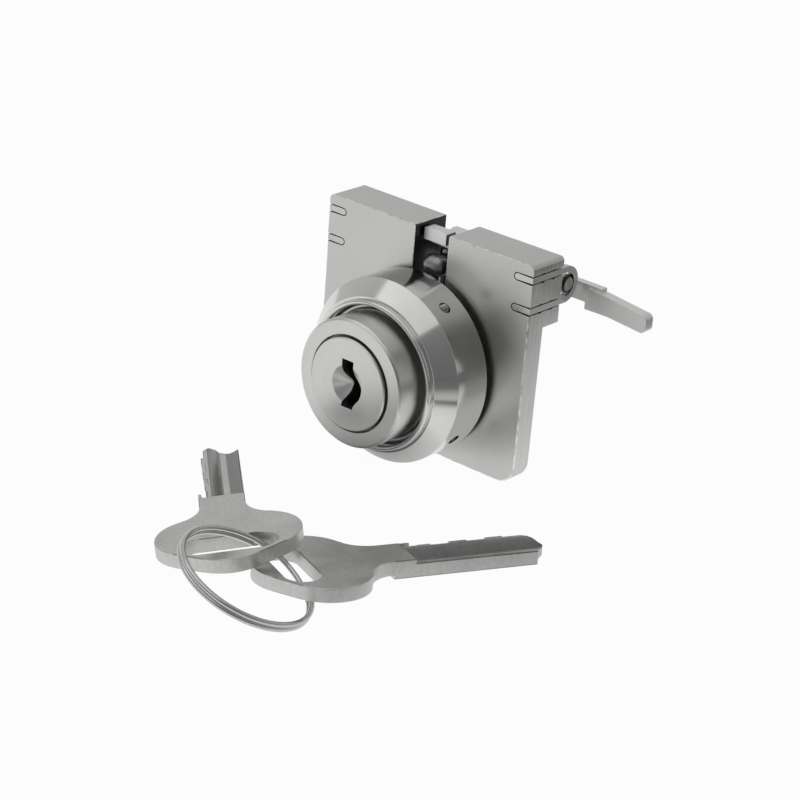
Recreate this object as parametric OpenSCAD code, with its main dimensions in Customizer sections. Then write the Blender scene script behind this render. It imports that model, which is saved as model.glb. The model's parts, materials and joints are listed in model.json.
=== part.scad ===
// Panel-mounted cylinder lock with a latch rocker, a screw-on clamp collar and two keys on a split ring.
// Millimetres. The origin is on the barrel axis in the plate's front face; the keyhole looks along -Y.

/* [Mounting plate] */
// Width of the plate
plate_w = 50; // [46:0.5:60]
// Height of the plate's top edge above the barrel axis
plate_rise = 26; // [25:0.5:32]
// Thickness of the plate
plate_t = 4.4; // [3.8:0.1:5]
// Radius of the plate's lower corners
plate_corner_r = 4; // [1:0.5:5]
// Radius of the block's upper corners
block_corner_r = 1; // [0.4:0.1:1.5]
// Depth of the block along the top, from the plate's front face
block_depth = 9; // [8.4:0.1:10]
// Gap between the barrel and the underside of that block
block_gap = 0.5; // [0.3:0.1:1.5]
// Width of the slot that splits the block
slot_w = 8; // [7:0.1:9]
// Sideways offset of the slot from the barrel axis
slot_offset = 0.75; // [0.5:0.05:0.9]

/* [Barrel] */
// Diameter of the barrel shell
shell_d = 25; // [24:0.1:27]
// Reach of the barrel's front face ahead of the plate
nose_out = 19.6; // [18:0.1:22]
// Thickness of the shell's rear wall
shell_wall_t = 1.5; // [1:0.1:2.5]
// Bevel on the shell's front edge
nose_bevel = 0.4; // [0.2:0.1:0.8]
// Depth of the domed head of the pin that holds the shell
pin_head_d = 4.2; // [3.4:0.1:4.3]
// Width of that head across the slot
pin_head_w = 5.4; // [4.6:0.1:6]
// Diameter of that pin's stem
pin_stem_d = 2.6; // [2:0.1:3]
// Height of the dome's top above the barrel axis
pin_top = 20.7; // [19:0.1:21]

/* [Sleeve and collar] */
// Wall of the threaded sleeve
sleeve_wall = 1; // [0.8:0.1:1.4]
// Reach of the sleeve ahead of the plate
sleeve_out = 11.8; // [9:0.1:13]
// Thickness of the panel that the collar clamps
panel_t = 1.1; // [0.8:0.1:3]
// Outside diameter of the collar
collar_d = 36; // [34:0.5:40]
// Length of the collar
collar_len = 13; // [12:0.1:15]
// Length of the collar's conical nose
cone_len = 4.4; // [3:0.1:6]
// Radius of the bead round the collar's mouth
bead_r = 0.5; // [0.3:0.05:0.8]
// Diameter of the spanner holes in the collar
spanner_d = 2.4; // [1.6:0.1:3]
// Depth of the spanner holes
spanner_depth = 2; // [1:0.1:3]
// Angle of the first spanner hole from the top of the collar
spanner_angle = 34; // [0:1:89]

/* [Core and detainers] */
// Diameter of the turning core
core_d = 18.8; // [18:0.1:19.4]
// Diameter of the core's front face
face_d = 18.1; // [17.4:0.1:18.6]
// How far that face stands proud of the shell
face_proud = 0.6; // [0.2:0.1:1]
// Depth to which the face sits inside the shell
face_seat = 1.2; // [1:0.1:2]
// Width of the keyway's straight part
keyway_w = 2.75; // [2.4:0.05:2.9]
// Diameter of the countersink round the keyway
countersink_d = 7.4; // [6:0.1:8]
// Wall of the drum round the detainers
drum_wall = 1.9; // [1.5:0.1:2.2]
// Number of detainer discs
disc_n = 8; // [6:1:8]
// Thickness of a detainer disc
disc_t = 1.8; // [1.4:0.1:1.9]
// Thickness of a spacer ring
spacer_t = 0.55; // [0.3:0.05:0.6]
// Thickness of the hardened plate behind the face
drill_plate_t = 1.4; // [1:0.1:1.6]
// Thickness of the sidebar
sidebar_t = 2; // [1.5:0.1:2.5]

/* [Drive] */
// Thickness of the drive cam
cam_t = 3; // [2.8:0.1:3.4]
// Smallest working radius of the cam
cam_r = 6.8; // [6.4:0.1:6.9]
// Width across flats of the core's square tail
tail_w = 6; // [5:0.1:6.6]
// Diameter of the lift plunger
plunger_d = 2.6; // [2:0.1:2.8]

/* [Latch rocker] */
// Turn of the core from unlocked to locked
core_turn = 90; // [60:5:90]
// Swing of the rocker over that turn
rocker_swing = 25; // [15:1:26]
// Width of the rocker's tongue and hub
tongue_w = 5.4; // [4:0.1:5.8]
// Setback of the tongue's tip from the plate's front face
tongue_setback = 1.9; // [1:0.1:3]
// Depth of the crowned tab that stands up at the tongue's front
tab_depth = 2.6; // [2:0.1:3]
// Height of that tab
tab_h = 2.7; // [2:0.1:3]
// Diameter of the rocker's hub
hub_d = 6.2; // [6:0.1:6.6]
// Thickness of the arm
arm_t = 2.2; // [2:0.1:4]
// Reach of the arm past the end of the plate
arm_out = 16; // [12:0.1:24]
// Height of the arm at its root
arm_root_h = 3.8; // [3.4:0.1:5]
// Height of the arm at its tip
arm_tip_h = 3.5; // [3:0.1:4]

/* [Pivot rod and clips] */
// Diameter of the pivot rod
rod_d = 3.5; // [3:0.1:3.6]
// Depth of the rod's axis below the plate's top edge
rod_drop = 5.8; // [5.6:0.1:6.2]
// Thickness of the clip strip
clip_t = 1.2; // [1:0.1:1.4]
// Spacing of a clip's two legs
clip_pitch = 6; // [5.8:0.1:7]
// Clearance beside a clip in its groove
clip_side_gap = 0.2; // [0.1:0.05:0.3]
// Length of a clip's end on the plate's front face
clip_tab = 3.6; // [2:0.1:5]

/* [Keys] */
// Thickness of a key
key_t = 2.6; // [2.4:0.1:2.7]
// Width of a key's bow
bow_w = 25.4; // [24.6:0.2:26]
// Length of the blade past the bow's centre
blade_reach = 43; // [42:0.5:46]
// Length of the ring slot in the bow
bow_slot_l = 16.6; // [16.4:0.1:17.4]
// Width of the ring slot in the bow
bow_slot_w = 6.4; // [6.3:0.1:6.8]
// Outside diameter of the split ring
ring_d = 25; // [24.8:0.1:25.2]
// Wire of the split ring
ring_wire = 1; // [0.8:0.1:1.1]

/* [Hidden] */
// Names of every node
$fn = 64;

// Clearances: seated pieces, running fits, the sprung contact of cam and plunger, and cutting overlap
fit_gap = 0.02;
run_gap = 0.06;
touch_gap = 0.08;
cut = 1;

// Heights and radii that follow from the sizes above
shell_r = shell_d / 2;
sleeve_bore_r = shell_r + fit_gap;
sleeve_r = sleeve_bore_r + sleeve_wall;
collar_r = collar_d / 2;
mouth_r = sleeve_r + run_gap;
plate_drop = collar_r;
block_floor = shell_r + block_gap;
block_lower_r = 0.3;
slot_left = slot_offset - slot_w / 2;
slot_right = slot_offset + slot_w / 2;

// Depths of the core's stack, from the face backwards
core_r = core_d / 2;
bore_r = core_r + run_gap;
face_back = face_seat - nose_out;
drum_front = face_back + fit_gap;
cavity_r = core_r - drum_wall;
disc_r = cavity_r - touch_gap;
stack_front = drum_front + touch_gap;
disc_pitch = disc_t + spacer_t + 2 * fit_gap;
discs_front = stack_front + drill_plate_t + fit_gap;
cavity_back = discs_front + disc_n * disc_pitch + touch_gap;
drum_floor_t = 2;
drum_back = cavity_back + drum_floor_t;
cam_front = drum_back + fit_gap;
cam_back = cam_front + cam_t;
shell_floor = cam_back + touch_gap;
shell_back = shell_floor + shell_wall_t;
journal_r = tail_w / 2 - 0.1;
clip_groove_r = journal_r - 0.6;
tail_clip_t = 0.7;
tail_clip_r = journal_r + 2;
tail_back = shell_back + tail_clip_t + 1.2;
sidebar_in = disc_r - 0.6;
sidebar_out = core_r - 0.15;
sidebar_front = discs_front;
sidebar_back = cavity_back - touch_gap;

// The keyway's middle line runs straight, bulges to the right and slants back, as seen from the front
keyway_top = 4.8;
keyway_bend = 2.3;
keyway_lean = -0.2;
keyway_bulge = 1.8;
keyway_bulge_w = 0.5;
keyway_bulge_top = 0;
keyway_bulge_low = -1.1;
keyway_foot_x = 0.2;
keyway_foot = -4.6;
keyway_steps = 5;

// Rocker, rod and plunger
rod_r = rod_d / 2;
rod_out = 0.2;
rod_bevel = 0.5;
rod_y = block_depth + rod_r + touch_gap;
rod_z = plate_rise - rod_drop;
plunger_r = plunger_d / 2;
plunger_y = (cam_front + cam_back) / 2;
plunger_arm = rod_y - plunger_y;
lift = plunger_arm * rocker_swing * PI / 180;
cam_margin_angle = 14;
plunger_foot = cam_r + touch_gap + plunger_r;
plunger_tip = rod_z - run_gap;
hub_r = hub_d / 2;
tongue_top = plate_rise - 0.4;
tongue_crown_r = 9;
tongue_under = rod_z + plunger_r;
tab_slope = 0.3;
tab_foot = tongue_top - tab_h;
nub_front = plunger_y - plunger_r - 0.15;
pin_y = nub_front - pin_head_d / 2 - 0.2;
beam_front = rod_y + hub_r + 0.6;
arm_front = beam_front - 0.6;
arm_back = arm_front + arm_t;
arm_root_x = plate_w / 2 + 2.6;
arm_tip_x = plate_w / 2 + arm_out;
beam_top = rod_z - 0.4;
beam_drop = 3.6;
arm_step_l = 2.6;
arm_top = beam_top - 0.4;
arm_droop = 1.4;
gusset_l = 7;
gusset_h = 0.8;

// Clips: a strip bent round the rod's end, let into grooves in the block
clip_x = plate_w / 2 - clip_t / 2;
clip_bend_r = clip_pitch / 2;
clip_bend_y = rod_y + rod_r + run_gap + clip_t / 2 - clip_bend_r;
clip_seat = 0.05;
stake_d = 1.9;
stake_depth = 0.5;
stake_depths = [3.1, 6.2];

// Return spring: coils beside the hub, one leg in the block and one in the rocker
spring_wire_r = 0.3;
spring_coils = 3;
spring_pitch = 2 * spring_wire_r * 0.96;
spring_r = rod_r + 0.15 + spring_wire_r;
spring_x = tongue_w / 2 + 0.1 + spring_wire_r;
spring_leg_r = spring_wire_r * 0.92;
spring_leg_l = 4.2;
spring_up_angle = 25;
spring_down_angle = 20;
spring_peg = 1.4;

// Keys: outline sizes, and where each lies in front of the lock
bow_lobe_r = 7.8;
bow_tail = 11.3;
blade_gap = 0.15;
blade_w = keyway_top - keyway_foot - 2 * blade_gap;
blade_rib = 0.9;
blade_trim = 0.9;
blade_root = 13;
tip_l = 3.3;
tip_flat = 1.7;
bow_slot_back = 4.5;
bit_depths = [1.4, 1.9, 1.2, 1.7, 1.1, 1.6];
bit_start = 18.8;
bit_pitch = (blade_reach - tip_l - bit_start) / len(bit_depths);
prong_t = 0.6;
prong_gap = 1;
prong_l = 2;
floor_z = -plate_drop;
ring_mid_r = ring_d / 2 - ring_wire / 2;
ring_turn_pitch = ring_wire * 0.96;
ring_x = 25.17;
ring_y = -71.23;
ring_rise = 6.08;
ring_pos = [ring_x, ring_y, floor_z + ring_rise];
ring_lean_angle = 25.29;
ring_lean_to_angle = 214.03;
key_left_x = 13.48;
key_left_y = -63.25;
key_left_rise = 4.51;
key_left_pos = [key_left_x, key_left_y, floor_z + key_left_rise];
key_left_turn_angle = 47.53;
key_left_roll_angle = -8.94;
key_left_pitch_angle = -4.29;
key_right_x = 27.59;
key_right_y = -56.68;
key_right_rise = 2.28;
key_right_pos = [key_right_x, key_right_y, floor_z + key_right_rise];
key_right_turn_angle = -26.37;
key_right_roll_angle = -6.72;
key_right_pitch_angle = -1.44;

// A cylinder of radius r along Y from y0 to y1
module y_rod(r, y0, y1) {
    translate([0, y0, 0]) rotate([-90, 0, 0]) cylinder(r = r, h = y1 - y0);
}

// A cylinder of radius r along X from x0 to x1
module x_rod(r, x0, x1) {
    translate([x0, 0, 0]) rotate([0, 90, 0]) cylinder(r = r, h = x1 - x0);
}

// A flat shape drawn in X and Z, carried along Y from y0 to y1
module y_slab(y0, y1) {
    translate([0, y1, 0]) rotate([90, 0, 0]) linear_extrude(y1 - y0) children();
}

// A flat shape drawn in Y and Z, carried along X from x0 to x1
module x_slab(x0, x1) {
    translate([x0, 0, 0]) rotate([90, 0, 90]) linear_extrude(x1 - x0) children();
}

// A profile of radius and depth, turned about the barrel axis
module y_turned() {
    rotate([-90, 0, 0]) rotate_extrude() children();
}

// Points of an arc about a centre
function arc(centre, r, a0, a1, n = 8) =
    [for (i = [0 : n]) let (a = a0 + (a1 - a0) * i / n) centre + r * [cos(a), sin(a)]];

// A smooth change from 0 to 1 as t goes from 0 to 1
function eased(t) = (1 - cos(180 * min(1, max(0, t)))) / 2;

// How far the keyway has gone into its bulge at height z, from 0 to 1
function keyway_in(z) = z > keyway_bulge_top
    ? eased((keyway_bend - z) / (keyway_bend - keyway_bulge_top))
    : eased((z - keyway_foot) / (keyway_bulge_low - keyway_foot));

function keyway_mid(z) =
    let (from = z > keyway_bulge_top ? keyway_lean : keyway_foot_x)
    from + (keyway_bulge - from) * keyway_in(z);

// X of the keyway's edge at height z: side is -1 or 1, and the section is wider by grow on that side
function keyway_edge(z, side, grow) =
    keyway_mid(z) + side * ((keyway_w + keyway_bulge_w * keyway_in(z)) / 2 + grow);

// Heights at which the section is drawn, from the top down, with its ends moved out by grow
function keyway_heights(grow) = concat([keyway_top + grow],
    [for (i = [0 : keyway_steps]) keyway_bend + (keyway_bulge_top - keyway_bend) * i / keyway_steps],
    [for (i = [0 : keyway_steps - 1])
        keyway_bulge_low + (keyway_foot - keyway_bulge_low) * i / keyway_steps],
    [keyway_foot - grow]);

function flipped(line) = [for (i = [len(line) - 1 : -1 : 0]) line[i]];

// Section of the keyway, made wider by grow
module keyway_section(grow = 0) {
    heights = keyway_heights(max(0, grow));
    polygon(concat([for (z = heights) [keyway_edge(z, 1, grow), z]],
        [for (z = flipped(heights)) [keyway_edge(z, -1, grow), z]]));
}

// Section of the key's blade: the keyway less a gap, with a lower rib on its bulging side
module blade_section() {
    heights = keyway_heights(-blade_gap);
    rib_x = keyway_edge(keyway_top, 1, blade_rib - blade_gap);
    polygon(concat([for (z = heights) [min(rib_x, keyway_edge(z, 1, -blade_gap)), z]],
        [for (z = flipped(heights)) [keyway_edge(z, -1, -blade_gap), z]]));
}

// One leg of a clip and its round-ended tab on the front face, deeper by seat and wider by gap
module clip_leg(seat = 0, gap = 0) {
    w = clip_t + 2 * gap;
    d = clip_t + seat;
    translate([-clip_t / 2 - seat, 0, -w / 2]) cube([d + gap, clip_bend_y, w]);
    translate([clip_t / 2 - clip_tab, -gap, -w / 2]) cube([clip_tab + gap, d + gap, w]);
    translate([clip_t / 2 - clip_tab, 0, 0]) y_rod(w / 2, -gap, d);
}

// The clip's strip: two legs and the bend round the rod
module clip_strip() {
    for (side = [-1, 1]) translate([clip_x, 0, rod_z + side * clip_pitch / 2]) clip_leg();
    translate([clip_x, clip_bend_y, rod_z]) rotate([90, 0, 90]) rotate([0, 0, -90])
        rotate_extrude(angle = 180) translate([clip_bend_r - clip_t / 2, -clip_t / 2]) square(clip_t);
}

// Grooves for a clip's legs, with the dents where the block is staked over them
module clip_grooves() {
    for (side = [-1, 1]) translate([clip_x, 0, rod_z + side * clip_pitch / 2]) {
        clip_leg(clip_seat, clip_side_gap);
        for (y = stake_depths) translate([0, y, 0])
            x_rod(stake_d / 2, clip_t / 2 - stake_depth, clip_t / 2 + cut);
    }
}

// Outline of the plate from a lower edge at low to its top, with rounded corners
module plate_outline(low, low_r) {
    half = plate_w / 2;
    top_r = block_corner_r;
    polygon(concat(
        arc([half - low_r, low + low_r], low_r, -90, 0),
        arc([half - top_r, plate_rise - top_r], top_r, 0, 90),
        arc([top_r - half, plate_rise - top_r], top_r, 90, 180),
        arc([low_r - half, low + low_r], low_r, 180, 270)));
}

// Cast plate with the split block along its top
module mounting_plate() {
    color([0.62, 0.62, 0.62]) difference() {
        union() {
            y_slab(0, plate_t) plate_outline(-plate_drop, plate_corner_r);
            y_slab(0, block_depth) plate_outline(block_floor, block_lower_r);
        }
        y_rod(sleeve_r + fit_gap, -cut, plate_t + cut);
        translate([slot_left, -cut, shell_r / 2])
            cube([slot_w, block_depth + 2 * cut, plate_rise]);
        clip_grooves();
        mirror([1, 0, 0]) clip_grooves();
        spring_hole(-spring_down_angle, slot_right - cut, slot_right + spring_peg + clip_seat);
    }
}

// Tube pressed into the plate, with the collar's thread outside
module threaded_sleeve() {
    rim = sleeve_wall / 3;
    color([0.6, 0.6, 0.6]) difference() {
        y_turned() polygon([
            [sleeve_bore_r, plate_t], [sleeve_r, plate_t], [sleeve_r, rim - sleeve_out],
            [sleeve_r - rim, -sleeve_out], [sleeve_bore_r, -sleeve_out]]);
        translate([0, pin_y, 0]) cylinder(r = pin_stem_d / 2 + fit_gap, h = sleeve_r + cut);
    }
}

// Barrel that holds the core; open in front, closed behind
module cylinder_shell() {
    color([0.68, 0.68, 0.67]) difference() {
        y_turned() polygon([
            [bore_r, -nose_out], [shell_r - nose_bevel, -nose_out], [shell_r, nose_bevel - nose_out],
            [shell_r, shell_back], [journal_r + run_gap, shell_back],
            [journal_r + run_gap, shell_floor], [bore_r, shell_floor]]);
        translate([0, pin_y, bore_r + (shell_r - bore_r) / 3])
            cylinder(r = pin_stem_d / 2 + fit_gap, h = shell_r);
        translate([0, plunger_y, 0]) cylinder(r = plunger_r + run_gap, h = shell_r + cut);
        translate([-bore_r - 0.7, sidebar_front, -sidebar_t / 2 - fit_gap])
            cube([cut + 0.7, sidebar_back - sidebar_front, sidebar_t + 2 * fit_gap]);
    }
}

// Pin through sleeve and shell, with a domed head in the slot
module shell_pin() {
    head_r = pin_head_d / 2;
    head_x = (pin_head_w - pin_head_d) / 2;
    stem_bottom = bore_r + (shell_r - bore_r) / 3 + fit_gap;
    dome_z = pin_top - head_r;
    color([0.5, 0.5, 0.5]) translate([0, pin_y, 0]) {
        translate([0, 0, stem_bottom]) cylinder(r = pin_stem_d / 2, h = dome_z - stem_bottom);
        translate([0, 0, sleeve_r + fit_gap])
            cylinder(r = head_r * 0.75, h = dome_z - sleeve_r - fit_gap);
        translate([slot_offset, 0, dome_z]) {
            x_rod(head_r, -head_x, head_x);
            for (side = [-1, 1]) translate([side * head_x, 0, 0]) sphere(head_r);
        }
    }
}

// Ring that screws along the sleeve against the panel
module clamp_collar() {
    back = -panel_t;
    front = back - collar_len;
    shoulder = front + cone_len;
    edge = 0.4;
    cone_tip_r = mouth_r + 2 * bead_r;
    bead = arc([mouth_r + bead_r, front + bead_r], bead_r, 0, -180, 10);
    color([0.7, 0.7, 0.69]) difference() {
        y_turned() polygon(concat(
            [[mouth_r, back], [collar_r - edge, back], [collar_r, back - edge],
             [collar_r, shoulder], [cone_tip_r + bead_r, front + 2 * bead_r],
             [cone_tip_r, front + 2 * bead_r]], bead));
        for (turn = [0 : 90 : 270]) rotate([0, spanner_angle - turn, 0])
            translate([0, (back + shoulder) / 2 - 0.6, collar_r - spanner_depth]) {
                cylinder(d = spanner_d, h = spanner_depth + cut);
                translate([0, 0, -spanner_d / 4]) cylinder(d1 = 0, d2 = spanner_d, h = spanner_d / 4);
            }
    }
}

// Front of the core, with the keyway and its countersink
module core_face() {
    front = -nose_out - face_proud;
    color([0.72, 0.72, 0.71]) difference() {
        y_turned() polygon([
            [0, front], [face_d / 2 - 0.2, front], [face_d / 2, front + 0.2],
            [face_d / 2, face_back], [0, face_back]]);
        y_slab(front - cut, face_back + cut) keyway_section();
        y_turned() polygon([
            [0, front - cut], [countersink_d / 2, front - cut], [countersink_d / 2, front],
            [0, front + countersink_d / 4]]);
    }
}

// Hardened plate behind the face
module drill_plate() {
    color([0.45, 0.45, 0.46]) difference() {
        y_rod(disc_r, stack_front, stack_front + drill_plate_t);
        y_slab(stack_front - cut, stack_front + drill_plate_t + cut) keyway_section(0.1);
    }
}

// Hollow drum with the sidebar's slot, a square tail for the cam and a journal behind it
module core_drum() {
    color([0.66, 0.6, 0.42]) difference() {
        union() {
            y_rod(core_r, drum_front, drum_back);
            translate([-tail_w / 2, drum_back - cut, -tail_w / 2])
                cube([tail_w, cam_t + cut + fit_gap, tail_w]);
            y_rod(journal_r, drum_back, tail_back);
        }
        y_rod(cavity_r, drum_front - cut, cavity_back);
        translate([-core_r - cut, sidebar_front - touch_gap, -sidebar_t / 2 - fit_gap])
            cube([drum_wall + 2 * cut, sidebar_back - sidebar_front + 2 * touch_gap,
                  sidebar_t + 2 * fit_gap]);
        y_turned() translate([clip_groove_r, shell_back + fit_gap])
            square([journal_r, tail_clip_t + 2 * fit_gap]);
    }
}

// Rim notch that the sidebar drops into
module sidebar_notch(y0, y1) {
    translate([-disc_r - cut, y0 - cut, -sidebar_t / 2 - touch_gap])
        cube([disc_r - sidebar_in + cut + touch_gap, y1 - y0 + 2 * cut, sidebar_t + 2 * touch_gap]);
}

// Stack of detainers, lined up as the right key sets them
module detainer_discs() {
    color([0.7, 0.66, 0.5]) for (i = [0 : disc_n - 1]) {
        y0 = discs_front + i * disc_pitch;
        difference() {
            y_rod(disc_r, y0, y0 + disc_t);
            y_slab(y0 - cut, y0 + disc_t + cut) keyway_section(0.3);
            sidebar_notch(y0, y0 + disc_t);
        }
    }
}

// Thin rings that keep the detainers apart
module spacer_rings() {
    color([0.55, 0.55, 0.56]) for (i = [0 : disc_n - 1]) {
        y0 = discs_front + i * disc_pitch + disc_t + fit_gap;
        difference() {
            y_rod(disc_r, y0, y0 + spacer_t);
            y_rod(keyway_top + 0.6, y0 - cut, y0 + spacer_t + cut);
            sidebar_notch(y0, y0 + spacer_t);
        }
    }
}

// Bar that blocks the core until every detainer lines up
module sidebar() {
    bevel = 0.5;
    half = sidebar_t / 2;
    color([0.5, 0.5, 0.52]) y_slab(sidebar_front, sidebar_back) polygon([
        [-sidebar_in, -half], [-sidebar_in, half], [bevel - sidebar_out, half],
        [-sidebar_out, half - bevel], [-sidebar_out, bevel - half], [bevel - sidebar_out, -half]]);
}

// Spiral cam on the core's tail: its radius grows evenly with the turn
function cam_radius(turn) = cam_r + lift * turn / core_turn;

module drive_cam() {
    rise = [for (t = [-cam_margin_angle : 4 : core_turn + cam_margin_angle])
        cam_radius(t) * [cos(90 + t), sin(90 + t)]];
    rest = arc([0, 0], cam_radius(-cam_margin_angle), 96 + core_turn + cam_margin_angle,
        446 - cam_margin_angle, 40);
    color([0.52, 0.52, 0.53]) difference() {
        y_slab(cam_front, cam_back) polygon(concat(rise, rest));
        translate([-tail_w / 2 - fit_gap, cam_front - cut, -tail_w / 2 - fit_gap])
            cube([tail_w + 2 * fit_gap, cam_t + 2 * cut, tail_w + 2 * fit_gap]);
    }
}

// Spring clip in the journal's groove, behind the shell
module tail_clip() {
    y0 = shell_back + 2 * fit_gap;
    y1 = y0 + tail_clip_t - fit_gap;
    gap_w = clip_groove_r * 1.5;
    color([0.35, 0.35, 0.36]) difference() {
        y_rod(tail_clip_r, y0, y1);
        y_rod(clip_groove_r + fit_gap, y0 - cut, y1 + cut);
        translate([-gap_w / 2, y0 - cut, -tail_clip_r - cut])
            cube([gap_w, y1 - y0 + 2 * cut, tail_clip_r + cut]);
    }
}

// Round-ended pin that the cam lifts against the rocker's tongue
module lift_plunger() {
    color([0.6, 0.6, 0.6]) translate([0, plunger_y, plunger_foot]) {
        sphere(plunger_r);
        cylinder(r = plunger_r, h = plunger_tip - plunger_foot);
        translate([0, 0, plunger_tip - plunger_foot]) sphere(plunger_r);
    }
}

// Tongue that rests on the plunger, with a crowned tab standing up at its front
module rocker_tongue() {
    back = rod_y + hub_r / 3;
    tab_back = tongue_setback + tab_depth;
    intersection() {
        x_slab(-tongue_w / 2, tongue_w / 2) polygon([
            [tongue_setback, tab_foot], [tongue_setback, tongue_top], [tab_back, tongue_top - tab_slope],
            [tab_back + tab_h / 2, tab_foot], [back, tab_foot], [back, tongue_under],
            [nub_front, tongue_under], [nub_front, tab_foot]]);
        translate([0, 0, tongue_top - tongue_crown_r]) y_rod(tongue_crown_r, 0, back + cut);
    }
}

// Outline of the arm from the front: a taper with a rounded end, drooping a little
module arm_outline() {
    tip_r = arm_tip_h / 3;
    tip_top = arm_top - arm_droop;
    polygon(concat(
        [[arm_root_x, arm_top - arm_root_h], [arm_root_x, arm_top]],
        arc([arm_tip_x - tip_r, tip_top - tip_r], tip_r, 90, 0),
        arc([arm_tip_x - tip_r, tip_top - arm_tip_h + tip_r], tip_r, 0, -90)));
}

// Web under the arm's root, behind its front face
module arm_gusset() {
    low = arm_top - arm_root_h;
    y_slab(beam_front, arm_back) polygon([
        [arm_root_x - cut, low + gusset_h], [arm_root_x + gusset_l, low + gusset_h / 2],
        [arm_root_x + gusset_l, low - arm_droop / 2], [arm_root_x - cut, low - gusset_h]]);
}

// Rocker: hub on the rod, tongue in front, beam behind the block and the arm past its end
module latch_rocker() {
    beam_z = beam_top - beam_drop;
    color([0.6, 0.59, 0.57]) difference() {
        union() {
            rocker_tongue();
            translate([0, rod_y, rod_z]) x_rod(hub_r, -tongue_w / 2, tongue_w / 2);
            translate([-tongue_w / 2, rod_y, beam_z + 1])
                cube([tongue_w, arm_back - rod_y, beam_top - beam_z - 1]);
            translate([-tongue_w / 2, beam_front, beam_z])
                cube([arm_root_x + tongue_w / 2 + arm_step_l, arm_back - beam_front, beam_drop]);
            y_slab(arm_front, arm_back) arm_outline();
            arm_gusset();
        }
        translate([0, rod_y, rod_z]) x_rod(rod_r + run_gap, -tongue_w, tongue_w);
        spring_hole(spring_up_angle, tongue_w / 2 - spring_peg - clip_seat, tongue_w / 2 + cut);
    }
}

// Rod that the rocker turns on, with bevelled ends
module pivot_rod() {
    half = plate_w / 2 + rod_out;
    color([0.66, 0.66, 0.66]) translate([0, rod_y, rod_z]) rotate([0, 90, 0]) {
        translate([0, 0, rod_bevel - half]) cylinder(r = rod_r, h = 2 * (half - rod_bevel));
        translate([0, 0, -half]) cylinder(r1 = rod_r - rod_bevel, r2 = rod_r, h = rod_bevel);
        translate([0, 0, half - rod_bevel]) cylinder(r1 = rod_r, r2 = rod_r - rod_bevel, h = rod_bevel);
    }
}

module rod_clip_right() {
    color([0.64, 0.64, 0.63]) clip_strip();
}

module rod_clip_left() {
    color([0.64, 0.64, 0.63]) mirror([1, 0, 0]) clip_strip();
}

// One end of the spring: a radial leg from the coil at x0 and a peg to x1, turned up by angle
module spring_leg(angle, x0, x1) {
    rotate([-angle, 0, 0]) {
        translate([x0, 0, 0]) y_rod(spring_leg_r, -spring_leg_l, -spring_r);
        translate([x0, -spring_leg_l, 0]) sphere(spring_leg_r);
        translate([0, -spring_leg_l, 0]) x_rod(spring_leg_r, min(x0, x1), max(x0, x1));
    }
}

// Hole for the peg of a spring leg
module spring_hole(angle, x0, x1) {
    translate([0, rod_y, rod_z]) rotate([-angle, 0, 0]) translate([0, -spring_leg_l, 0])
        x_rod(spring_leg_r + clip_seat, x0, x1);
}

// Torsion spring on the rod: it presses the tongue down on the plunger
module return_spring() {
    far_x = spring_x + spring_pitch * (spring_coils - 1);
    color([0.5, 0.5, 0.5]) translate([0, rod_y, rod_z]) {
        rotate([0, 90, 0]) rotate_extrude() for (i = [0 : spring_coils - 1])
            translate([spring_r, spring_x + spring_pitch * i]) circle(spring_wire_r, $fn = 24);
        spring_leg(spring_up_angle, spring_x, tongue_w / 2 - spring_peg);
        spring_leg(-spring_down_angle, far_x, slot_right + spring_peg);
    }
}

// Split ring: two turns of wire lying on each other
module key_ring() {
    color([0.6, 0.6, 0.6]) translate(ring_pos) rotate([0, 0, ring_lean_to_angle])
        rotate([0, -ring_lean_angle, 0]) rotate_extrude() {
            for (turn = [-0.5, 0.5])
                translate([ring_mid_r, turn * ring_turn_pitch]) circle(d = ring_wire, $fn = 32);
        }
}

// Outline of the bow, with its fillets into the blade
module bow_outline() {
    lobe_x = bow_w / 2 - bow_lobe_r;
    fillet = 6;
    intersection() {
        offset(r = -fillet) offset(delta = fillet) union() {
            hull() {
                for (side = [-1, 1]) translate([side * lobe_x, 0]) circle(bow_lobe_r, $fn = 48);
                translate([0, bow_lobe_r - bow_tail]) circle(bow_lobe_r, $fn = 48);
            }
            translate([-blade_w / 2, 0]) square([blade_w - blade_trim, 3 * fillet + blade_root]);
        }
        translate([-bow_w, -bow_w]) square([2 * bow_w, bow_w + blade_root + 4]);
    }
}

// Key in its own frame: the blade points along +Y and the bow lies on z = 0
module key_blank() {
    mid = (keyway_top + keyway_foot) / 2;
    half = blade_w / 2;
    right = half - blade_trim;
    difference() {
        union() {
            linear_extrude(key_t) bow_outline();
            intersection() {
                translate([mid, blade_root, key_t / 2 + keyway_lean]) rotate([-90, 0, 0]) rotate([0, 0, 90])
                    linear_extrude(blade_reach - blade_root) blade_section();
                linear_extrude(4 * key_t, center = true) polygon([
                    [-half, 0], [right, 0], [right, blade_reach - tip_flat - right / 3],
                    [right / 3, blade_reach - tip_flat], [-half / 8, blade_reach],
                    [bit_depths[len(bit_depths) - 1] - half, blade_reach - tip_l],
                    [-half, blade_reach - tip_l]]);
            }
        }
        linear_extrude(4 * key_t, center = true) translate([0, -bow_slot_back]) hull()
            for (side = [-1, 1])
                translate([side * (bow_slot_l - bow_slot_w) / 2, 0]) circle(d = bow_slot_w, $fn = 40);
        for (i = [0 : len(bit_depths) - 1])
            translate([-half - cut, bit_start + i * bit_pitch, -2 * key_t])
                cube([cut + bit_depths[i], bit_pitch + fit_gap, 4 * key_t]);
        translate([prong_t - half, bit_start - prong_l, -2 * key_t])
            cube([prong_gap, prong_l + cut, 4 * key_t]);
    }
}

module laid(pos, turn, pitch, roll) {
    translate(pos) rotate([0, 0, turn]) rotate([pitch, 0, 0]) rotate([0, roll, 0]) children();
}

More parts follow.
